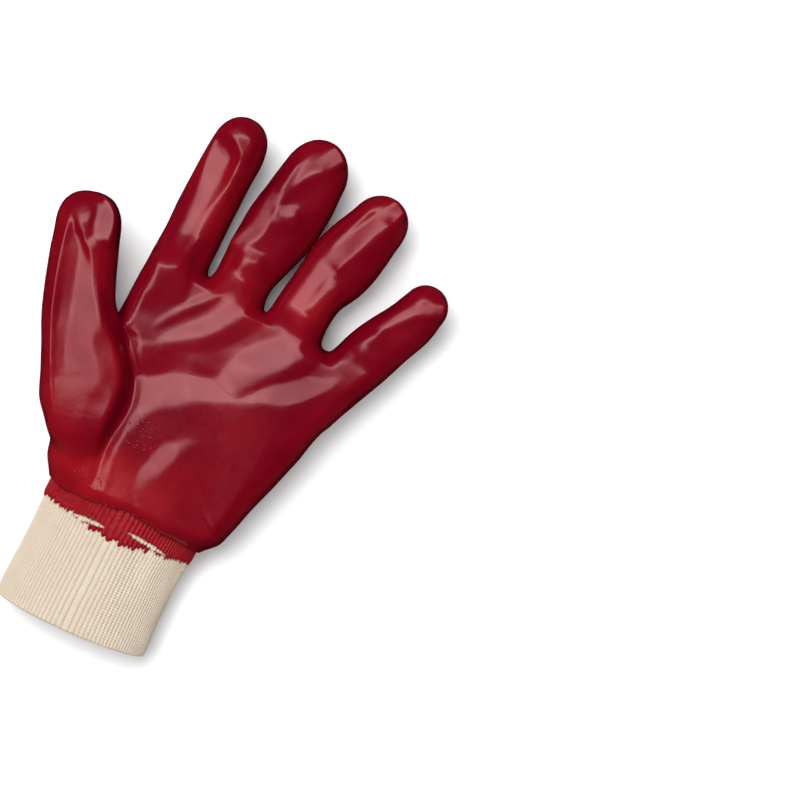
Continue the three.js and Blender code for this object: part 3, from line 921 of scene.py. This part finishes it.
def make_knit():
    edge = WRIST_LENGTH - KNIT_EDGE
    rings, courses = [], []

    def add_ring(drop, grow):
        rings.append(wrist_surface(np.full(ROUND, drop), grow))
        courses.append(drop)

    for drop in np.linspace(0, edge, KNIT_ROWS):
        add_ring(drop, puckers(drop) - RIB_DEPTH * SUNK)
    for degrees in KNIT_EDGE_DEGREES:
        turn = math.radians(degrees)
        out = KNIT_WALL / 2 * (1 - math.cos(turn))
        add_ring(edge + KNIT_EDGE * math.sin(turn), -out - RIB_DEPTH * SUNK * max(0.0, math.cos(turn)))
    for drop in np.linspace(edge, 0, KNIT_INSIDE_ROWS):
        add_ring(drop, -KNIT_WALL)
    points = np.vstack(rings)
    points[:, 2] = np.maximum(points[:, 2], 0.0)
    piece = new_piece("rib_knit_wrist", points, ring_grid(rings, closed_rows=True))
    add_values(piece, "rib", np.tile(np.arange(ROUND) / RIB_POINTS, len(rings)))
    add_values(piece, "course", np.repeat(courses, ROUND))
    return piece


knit = make_knit()


def torn_reach():
    """How far down the wrist the soaked coating reaches at each point, with its teeth."""
    tooth = TOOTH_LENGTH * random_row(RIBS, TOOTH_SEED) - TOOTH_BACK
    rib = ((np.arange(ROUND) + RIB_POINTS // 2) // RIB_POINTS) % RIBS
    return np.interp(np.degrees(ANGLE), REACH_ANGLES, REACH_MM) + tooth[rib] - RIB_NOTCH * SUNK


def in_missed_spot(x, y, z, wobble):
    if z < PALM_SIDE_Z:
        return False
    for centre_x, centre_y, long, wide, degrees in MISSED_SPOTS:
        turn = math.radians(degrees)
        along = (x - centre_x) * math.cos(turn) + (y - centre_y) * math.sin(turn)
        across = (y - centre_y) * math.cos(turn) - (x - centre_x) * math.sin(turn)
        reach = 1 - (2 * along / long) ** 2
        if reach > 0 and abs(across) < wide / 2 * math.sqrt(reach) + wobble:
            return True
    return False


def make_band():
    """The coating that soaked into the top of the ribs, with a torn edge and the missed slits."""
    reach = torn_reach()
    outside, inside = [], []
    for share in np.linspace(0, 1, BAND_ROWS):
        drop = BAND_START + share * (reach - BAND_START)
        pucker = puckers(drop)
        coat = BAND_COAT * (1 - smoothstep(BAND_FEATHER, 1.0, share)) + BAND_EDGE
        outside.append(wrist_surface(drop, pucker - RIB_DEPTH * SUNK * BAND_RIB_SHARE + coat))
        inside.append(wrist_surface(drop, pucker - RIB_DEPTH * SUNK + BAND_UNDERSIDE))
    points = np.vstack(outside + inside)
    wobble = SLIT_WOBBLE * (random_row(ROUND, SLIT_SEED) - 0.5)
    kept = []
    for face in ring_grid(outside):
        x, y, z = points[list(face)].mean(axis=0)
        if not in_missed_spot(x, y, z, wobble[face[0] % ROUND]):
            kept.append(face)
    behind = len(outside) * ROUND
    solid = kept + [tuple(i + behind for i in face[::-1]) for face in kept]
    directed = {side for face in kept for side in sides_of(face)}
    for a, b in directed:
        if (b, a) not in directed:
            solid.append((b, a, a + behind, b + behind))
    used, solid = renumbered(solid)
    return new_piece("soaked_rib_band", points[used], solid)


band = make_band()

# Materials
PVC_DEEP = (0.104, 0.0001, 0.0055)
PVC_ORANGE = (0.21, 0.004, 0.008)
PVC_TINT = (1.0, 0.56, 0.57, 1.0)
JERSEY_COLOURS = (0.62, 0.5, 0.36), (0.72, 0.6, 0.45)
BAND_COLOURS = (0.085, 0.0004, 0.004), (0.30, 0.004, 0.009)
BAND_TINT = (0.8, 0.3, 0.3, 1.0)
CREAM_COLOURS = (0.48, 0.395, 0.305), (0.55, 0.465, 0.375)
# Painted shade: the knit's cream darkens to this colour in the grooves between its ribs.
GROOVE_SHADE_COLOUR = (0.31, 0.25, 0.19)
FLOOR_COLOUR = (0.86, 0.86, 0.86, 1.0)
# The knit's courses are this many mm apart, and a stitch slants by this much across its wale.
COURSE_MM = 1.25
STITCH_SLANT = 1.6
NOISE_ROUGHNESS = 0.55


class Look:
    """A material, with short ways to add the nodes that feed its shader."""

    def __init__(self, name, **shader_values):
        self.material = bpy.data.materials.new(name)
        self.material.use_nodes = True
        self.nodes = self.material.node_tree.nodes
        self.links = self.material.node_tree.links
        self.shader = self.nodes["Principled BSDF"]
        for socket, value in shader_values.items():
            self.shader.inputs[socket.replace("_", " ")].default_value = value

    def fill(self, socket, value):
        if hasattr(value, "is_linked"):
            self.links.new(value, socket)
        else:
            socket.default_value = value

    def add(self, kind, **values):
        """A new node with these values or links in its sockets."""
        made = self.nodes.new("ShaderNode" + kind)
        for socket, value in values.items():
            self.fill(made.inputs[socket.replace("_", " ")], value)
        return made

    def feed(self, socket, output):
        self.links.new(output, self.shader.inputs[socket])

    def noise(self, scale, detail=3.0):
        place = self.add("TexCoord").outputs["Object"]
        made = self.add("TexNoise", Scale=scale, Detail=detail, Roughness=NOISE_ROUGHNESS, Vector=place)
        return made.outputs["Fac"]

    def maths(self, operation, first, second=None, clamp=False):
        made = self.add("Math")
        made.operation = operation
        made.use_clamp = clamp
        self.fill(made.inputs[0], first)
        if second is not None:
            self.fill(made.inputs[1], second)
        return made.outputs[0]

    def times(self, first, second):
        return self.maths("MULTIPLY", first, second)

    def ranged(self, value, low, high, to_low=0.0, to_high=1.0):
        made = self.add("MapRange", Value=value, From_Min=low, From_Max=high, To_Min=to_low, To_Max=to_high)
        return made.outputs[0]

    def mixed(self, share, first, second):
        """A colour between two, each an output or three numbers."""
        made = self.add("Mix")
        made.data_type = "RGBA"
        self.fill(made.inputs["Factor"], share)
        sockets = [socket for socket in made.inputs if socket.type == "RGBA"]
        for socket, colour in zip(sockets, (first, second)):
            self.fill(socket, (*colour, 1.0) if isinstance(colour, tuple) else colour)
        return next(socket for socket in made.outputs if socket.type == "RGBA")

    def bumped(self, height, strength, distance, **normal):
        return self.add("Bump", Height=height, Strength=strength, Distance=distance, **normal).outputs[0]

    def values(self, name):
        made = self.add("Attribute")
        made.attribute_name = name
        return made.outputs["Fac"]


def pvc_material():
    look = Look("dipped_pvc", IOR=1.5, Specular_Tint=PVC_TINT)
    fine = look.noise(scale=420.0)
    patchy = look.ranged(look.noise(scale=28.0), low=0.35, high=0.7, to_high=0.45)
    # The spots' share turns the red more orange: near the wrist for the thinner coating, and on the lit
    # ridges as painted light.
    share = look.maths("ADD", patchy, look.values("thin_coat_and_lit_ridges"), clamp=True)
    look.feed("Base Color", look.mixed(share, PVC_DEEP, PVC_ORANGE))
    look.feed("Roughness", look.ranged(fine, low=0.3, high=0.7, to_low=0.15, to_high=0.22))
    peel = look.bumped(fine, strength=0.1, distance=0.0004)
    cells = look.add("TexVoronoi", Scale=640.0, Vector=look.add("TexCoord").outputs["Object"])
    dots = look.ranged(cells.outputs["Distance"], low=0.35, high=0.0)
    chosen = look.ranged(cells.outputs["Color"], low=0.36, high=0.5)
    pimples = look.times(look.times(dots, chosen), look.values("pimples"))
    look.feed("Normal", look.bumped(pimples, strength=0.6, distance=0.0004, Normal=peel))
    return look.material


def liner_material():
    look = Look("jersey_liner", Roughness=0.95)
    fine = look.noise(scale=900.0)
    look.feed("Base Color", look.mixed(fine, *JERSEY_COLOURS))
    look.feed("Normal", look.bumped(fine, strength=0.5, distance=0.0005))
    return look.material


def band_material():
    look = Look("soaked_rib_pvc", Roughness=0.34, Specular_Tint=BAND_TINT)
    fine = look.noise(scale=500.0)
    look.feed("Base Color", look.mixed(fine, *BAND_COLOURS))
    look.feed("Normal", look.bumped(fine, strength=0.5, distance=0.0006))
    return look.material


def knit_material():
    look = Look("cotton_rib_knit", Roughness=0.95, Sheen_Weight=0.25)
    wale = look.maths("COSINE", look.times(look.values("rib"), 2 * math.pi))
    # Painted shade: the grooves between the ribs are coloured darker, and the darkening rises and falls
    # with the stitch rows.
    groove_shade = look.ranged(wale, low=-0.2, high=-1.0)
    rows = look.times(look.values("course"), 2 * math.pi / COURSE_MM)
    slant = look.times(look.maths("ABSOLUTE", wale), STITCH_SLANT)
    stitch = look.maths("SINE", look.maths("ADD", rows, slant))
    cream = look.mixed(look.noise(scale=60.0), *CREAM_COLOURS)
    shade = look.times(groove_shade, look.ranged(stitch, low=-1.0, high=1.0, to_low=0.35))
    look.feed("Base Color", look.mixed(shade, cream, GROOVE_SHADE_COLOUR))
    loops = look.bumped(stitch, strength=0.35, distance=0.0003)
    fibre = look.noise(scale=1600.0, detail=4.0)
    look.feed("Normal", look.bumped(fibre, strength=0.5, distance=0.0003, Normal=loops))
    return look.material


def floor_material():
    return Look("pale_floor", Base_Color=FLOOR_COLOUR, Roughness=0.9, Specular_IOR_Level=0.1).material


# Where the skin shows more orange, partly real thinner coating near the wrist and partly painted light on
# the lit ridges of the ring, index and thumb, and where the jersey under it makes pimples: x, y, z, radius
# and strength.
THIN_COAT_AND_LIT_RIDGE_SPOTS = [
    (-12, 8, 32, 26, 0.8), (-30, 6, 30, 22, 0.6), (10, 6, 33, 22, 0.5),
    (36, 130, 26, 16, 0.3), (-25, 145, 27, 14, 0.3), (-44, 36, 38, 26, 0.3),
]
PIMPLE_SPOTS = [
    (-7, 37, 33, 12, 1), (-24, 5, 32, 10, 0.9), (-13, 6, 33, 9, 0.9),
]
SPOT_CORE = 0.3

hand_points = points_of(hand.data) / MM + TABLE_CENTRE
add_values(hand, "thin_coat_and_lit_ridges", spread(hand_points, THIN_COAT_AND_LIT_RIDGE_SPOTS, SPOT_CORE))
add_values(hand, "pimples", spread(hand_points, PIMPLE_SPOTS, SPOT_CORE))
hand.data.materials.append(pvc_material())
hand.data.materials.append(liner_material())
inside_faces = np.zeros(len(hand.data.polygons), np.int32)
inside_faces[outer_count:] = 1
hand.data.polygons.foreach_set("material_index", inside_faces)
band.data.materials.append(band_material())
knit.data.materials.append(knit_material())

for piece, node, slot in (
    (hand, "coated_hand", "coating"),
    (band, "coated_rib_band", "soaked_rib"),
    (knit, "knit_wrist", "knit"),
):
    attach(piece, "root")
    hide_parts(node)

# The floor, a hair below the glove
FLOOR_HALF = 3.0
FLOOR_DROP = 0.0002
floor_mesh = bpy.data.meshes.new("floor")
corners = [(x * FLOOR_HALF, y * FLOOR_HALF, 0.0) for x, y in ((-1, -1), (1, -1), (1, 1), (-1, 1))]
floor_mesh.from_pydata(corners, [], [(0, 1, 2, 3)])
floor = new_object("floor", floor_mesh)
floor_mesh.materials.append(floor_material())
floor.location.z = -FLOOR_DROP
floor.visible_glossy = False


# Square soft boxes, all turned to the middle of the glove: x, y, z, side, watts, and whether the skin
# mirrors them. The keys stand in an arc from the thumb's side to beyond the fingers and make the
# highlights, the halo softens these, and the glow and the top light only light the skin's own red.
SOFT_BOXES = [
    ("left_key", -0.52, -0.22, 1.2, 0.46, 2.3, True),
    ("key", -0.5, 0.165, 1.2, 0.42, 2, True),
    ("upper_key", -0.33, 0.36, 1.2, 0.3, 0.9, True),
    ("side_key", -0.086, 0.424, 1.2, 0.34, 1.2, True),
    ("halo", -0.5, 0.27, 1.25, 0.9, 1.8, True),
    ("key_glow", -0.5, 0.4, 1.1, 1.1, 16, False),
    ("top", 0.3, -0.2, 1.6, 1.6, 15, False),
]
for name, x, y, z, side, watts, mirrored in SOFT_BOXES:
    light = bpy.data.lights.new(name, "AREA")
    light.shape = "RECTANGLE"
    light.size = light.size_y = side
    light.energy = watts
    box = new_object(name, light)
    box.location = (x, y, z)
    box.rotation_euler = (-Vector((x, y, z))).to_track_quat("-Z", "Y").to_euler()
    box.visible_glossy = mirrored

# The room, dim and not mirrored
ROOM_STRENGTH = 0.2
world = bpy.data.worlds.new("room")
world.use_nodes = True
background = world.node_tree.nodes["Background"]
background.inputs["Color"].default_value = (1.0, 1.0, 1.0, 1.0)
background.inputs["Strength"].default_value = ROOM_STRENGTH
world.cycles_visibility.glossy = False
bpy.context.scene.world = world
bpy.context.scene.view_settings.view_transform = "Standard"

# Camera: straight above, turned so that the glove leans as it does in the photo.
HAND_LEAN = math.radians(27.8)
PICTURE_CENTRE = np.array([94.3, 109.4, 0.0])
CAMERA_HEIGHT = 1.1
FOCUS_HEIGHT = 0.016
PICTURE_PIXELS = 800
MM_PER_PIXEL = 0.48
PICTURE_WIDTH = PICTURE_PIXELS * MM_PER_PIXEL * MM
SENSOR_MM = 36.0
camera_data = bpy.data.cameras.new("camera")
camera_data.sensor_width = SENSOR_MM
camera_data.lens = SENSOR_MM * (CAMERA_HEIGHT - FOCUS_HEIGHT) / PICTURE_WIDTH
camera = new_object("camera", camera_data)
camera.location = (*to_metres(PICTURE_CENTRE)[:2], CAMERA_HEIGHT)
camera.rotation_euler = (0.0, 0.0, HAND_LEAN)
bpy.context.scene.camera = camera
